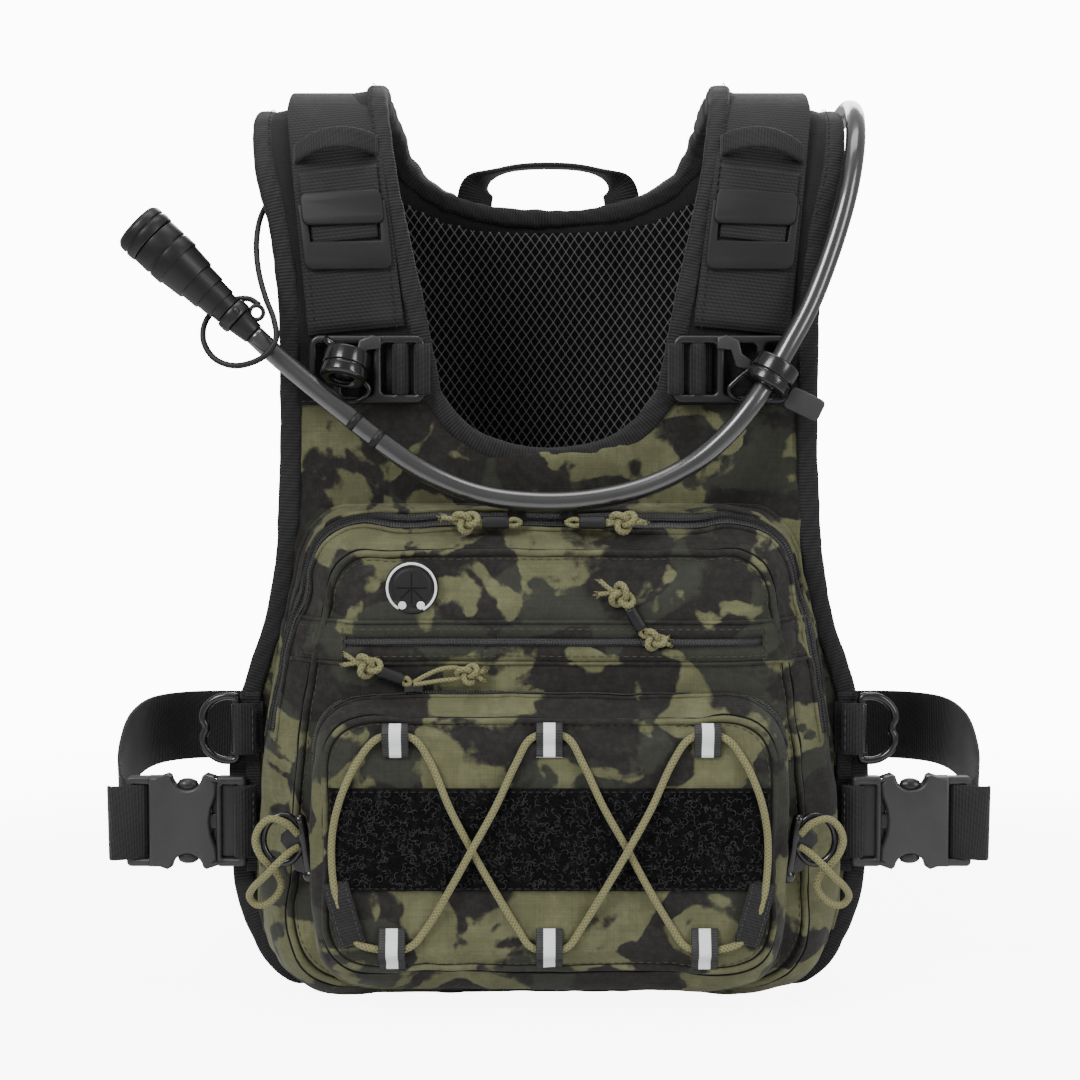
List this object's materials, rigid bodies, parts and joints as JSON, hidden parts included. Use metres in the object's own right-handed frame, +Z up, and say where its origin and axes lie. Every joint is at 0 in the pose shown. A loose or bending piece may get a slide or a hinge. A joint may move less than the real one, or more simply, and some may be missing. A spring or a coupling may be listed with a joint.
{
  "type": "fishing vest",
  "caption": "Chest-pack fishing vest with camouflage front pockets, padded mesh shoulders, side-release straps, laced front and a drinking hose.",
  "frame": {"origin": "centre of the footprint, at the lowest point of the standing vest", "axes": "+X to the right as the front is seen, -Y out of the front, +Z up to the shoulders"},
  "size_m": [0.4624, 0.2246, 0.4637],
  "materials": {
    "camo_fabric": "matte printed ripstop, olive with charcoal and grey-green patches",
    "black_fabric": "matte",
    "mesh_lining": "open spacer mesh, matte",
    "padded_mesh": "open spacer mesh over padding, matte",
    "webbing": "ribbed polypropylene webbing, matte",
    "loop_fabric": "brushed loop pile",
    "zip_tape": "coated tape with a coil, satin",
    "zip_slider": "black lacquer",
    "cord": "braided, olive",
    "rubber": "matte moulded",
    "hose": "glossy extruded",
    "hard_plastic": "satin moulded",
    "gloss_plastic": "glossy moulded",
    "bladder_film": "clear flexible film"
  },
  "bodies": {
    "vest": {"front_panel": "camo_fabric", "back_panel": "black_fabric", "back_lining": "mesh_lining", "back_pocket": "camo_fabric", "hydration_bladder": "bladder_film", "grab_handle": "webbing", "main_pocket": "camo_fabric", "main_zip": "zip_tape", "small_pocket": "camo_fabric", "small_zip": "zip_tape", "middle_zip": "zip_tape", "loop_field": "loop_fabric", "cable_port": "rubber", "upper_lace_loops": "webbing", "lower_lace_loops": "webbing", "lace_cord": "cord", "hydration_hose": "hose", "valve_body": "rubber", "valve_tether": "rubber", "right_hose_clip": "gloss_plastic", "right_shoulder_pad": "padded_mesh", "right_shoulder_webbing": "webbing", "right_strap_plate": "hard_plastic", "right_shoulder_buckle": "hard_plastic", "right_side_webbing": "webbing", "right_buckle_male": "hard_plastic", "left_shoulder_pad": "padded_mesh", "left_shoulder_webbing": "webbing", "left_strap_plate": "hard_plastic", "left_shoulder_buckle": "hard_plastic", "left_side_webbing": "webbing", "left_buckle_male": "hard_plastic"},
    "right_strap_end": {"right_buckle_female": "hard_plastic", "right_side_strap": "webbing"},
    "right_upper_latch": {"right_latch_arm_upper": "hard_plastic"},
    "right_lower_latch": {"right_latch_arm_lower": "hard_plastic"},
    "right_ring": {"right_d_ring": "gloss_plastic"},
    "right_clip_hook": {"right_hook": "gloss_plastic", "right_cord_loop": "cord"},
    "right_flap": {"right_strap_flap": "rubber"},
    "left_strap_end": {"left_buckle_female": "hard_plastic", "left_side_strap": "webbing"},
    "left_upper_latch": {"left_latch_arm_upper": "hard_plastic"},
    "left_lower_latch": {"left_latch_arm_lower": "hard_plastic"},
    "left_ring": {"left_d_ring": "gloss_plastic"},
    "left_clip_hook": {"left_hook": "gloss_plastic", "left_cord_loop": "cord"},
    "left_flap": {"left_strap_flap": "rubber"},
    "left_main_slider": {"main_zip_slider_left": "zip_slider"},
    "left_main_pull": {"main_zip_pull_left": "cord"},
    "right_main_slider": {"main_zip_slider_right": "zip_slider"},
    "right_main_pull": {"main_zip_pull_right": "cord"},
    "panel_slider": {"middle_zip_slider": "zip_slider"},
    "panel_pull": {"middle_zip_pull": "cord"},
    "front_slider": {"small_zip_slider": "zip_slider"},
    "front_pull": {"small_zip_pull": "cord"},
    "spare_clip": {"left_hose_clip": "gloss_plastic"},
    "clip_lever": {"hose_clip_lever": "hard_plastic"},
    "bite_cap": {"valve_cap": "rubber"},
    "shutoff": {"valve_collar": "hard_plastic"}
  },
  "joints": [
    {"name": "right_release", "type": "slide", "parent": "vest", "child": "right_strap_end", "axis": [1, 0, 0], "range_m": [0, 0.03]},
    {"name": "right_upper_latch_press", "type": "hinge", "parent": "vest", "child": "right_upper_latch", "pos_m": [0.1673, -0.041, 0.0988], "axis": [0, 1, 0], "range_deg": [0, 6], "stiffness_Nm_per_rad": 0.5},
    {"name": "right_lower_latch_press", "type": "hinge", "parent": "vest", "child": "right_lower_latch", "pos_m": [0.1673, -0.041, 0.0712], "axis": [0, -1, 0], "range_deg": [0, 6], "stiffness_Nm_per_rad": 0.5},
    {"name": "right_ring_swing", "type": "hinge", "parent": "vest", "child": "right_ring", "pos_m": [0.1585, -0.039, 0.132], "axis": [0, 0, -1], "range_deg": [-25, 100]},
    {"name": "right_hook_swing", "type": "hinge", "parent": "vest", "child": "right_clip_hook", "pos_m": [0.1196, -0.0818, 0.08], "axis": [0, 0, -1], "range_deg": [0, 50]},
    {"name": "left_release", "type": "slide", "parent": "vest", "child": "left_strap_end", "axis": [-1, 0, 0], "range_m": [0, 0.03]},
    {"name": "left_upper_latch_press", "type": "hinge", "parent": "vest", "child": "left_upper_latch", "pos_m": [-0.1673, -0.041, 0.0988], "axis": [0, -1, 0], "range_deg": [0, 6], "stiffness_Nm_per_rad": 0.5},
    {"name": "left_lower_latch_press", "type": "hinge", "parent": "vest", "child": "left_lower_latch", "pos_m": [-0.1673, -0.041, 0.0712], "axis": [0, 1, 0], "range_deg": [0, 6], "stiffness_Nm_per_rad": 0.5},
    {"name": "left_ring_swing", "type": "hinge", "parent": "vest", "child": "left_ring", "pos_m": [-0.1585, -0.039, 0.132], "axis": [0, 0, 1], "range_deg": [-25, 100]},
    {"name": "left_hook_swing", "type": "hinge", "parent": "vest", "child": "left_clip_hook", "pos_m": [-0.1196, -0.0818, 0.08], "axis": [0, 0, 1], "range_deg": [0, 50]},
    {"name": "right_flap_lift", "type": "hinge", "parent": "vest", "child": "right_flap", "pos_m": [0.10636, -0.02938, 0.41389], "axis": [-0.9962, 0, 0.0874], "range_deg": [0, 60]},
    {"name": "left_flap_lift", "type": "hinge", "parent": "vest", "child": "left_flap", "pos_m": [-0.10636, -0.02938, 0.41389], "axis": [-0.9962, 0, -0.0874], "range_deg": [0, 60]},
    {"name": "left_main_slide", "type": "slide", "parent": "vest", "child": "left_main_slider", "axis": [1, 0, 0], "range_m": [-0.045, 0.006]},
    {"name": "left_main_pull_swing", "type": "hinge", "parent": "left_main_slider", "child": "left_main_pull", "pos_m": [-0.0212, -0.05646, 0.24349], "axis": [0, -0.3884, 0.9215], "range_deg": [0, 50]},
    {"name": "right_main_slide", "type": "slide", "parent": "vest", "child": "right_main_slider", "axis": [1, 0, 0], "range_m": [-0.006, 0.05]},
    {"name": "right_main_pull_swing", "type": "hinge", "parent": "right_main_slider", "child": "right_main_pull", "pos_m": [0.0152, -0.05646, 0.24349], "axis": [0, 0.3884, -0.9215], "range_deg": [0, 50]},
    {"name": "panel_slide", "type": "slide", "parent": "vest", "child": "panel_slider", "axis": [1, 0, 0], "range_m": [-0.06, 0.05]},
    {"name": "panel_pull_lift", "type": "hinge", "parent": "panel_slider", "child": "panel_pull", "pos_m": [0.0445, -0.0854, 0.1858], "axis": [0.7021, 0, 0.7121], "range_deg": [0, 65]},
    {"name": "front_slide", "type": "slide", "parent": "vest", "child": "front_slider", "axis": [1, 0, 0], "range_m": [-0.012, 0.14]},
    {"name": "front_pull_lift", "type": "hinge", "parent": "front_slider", "child": "front_pull", "pos_m": [-0.0712, -0.08411, 0.15979], "axis": [0, 0.988, 0.1544], "range_deg": [0, 45]},
    {"name": "spare_clip_swivel", "type": "hinge", "parent": "vest", "child": "spare_clip", "pos_m": [-0.101, -0.0553, 0.315], "axis": [0, -1, 0], "range_deg": [-45, 45]},
    {"name": "clip_lever_press", "type": "hinge", "parent": "vest", "child": "clip_lever", "pos_m": [0.11825, -0.0527, 0.30053], "axis": [-0.435, 0, -0.9004], "range_deg": [0, 12], "stiffness_Nm_per_rad": 0.05},
    {"name": "bite_cap_pull", "type": "slide", "parent": "vest", "child": "bite_cap", "axis": [-0.7302, 0, 0.6832], "range_m": [0, 0.005]},
    {"name": "shutoff_turn", "type": "hinge", "parent": "vest", "child": "shutoff", "pos_m": [-0.146, -0.058, 0.331], "axis": [-0.7302, 0, 0.6832], "range_deg": [0, 90]}
  ]
}
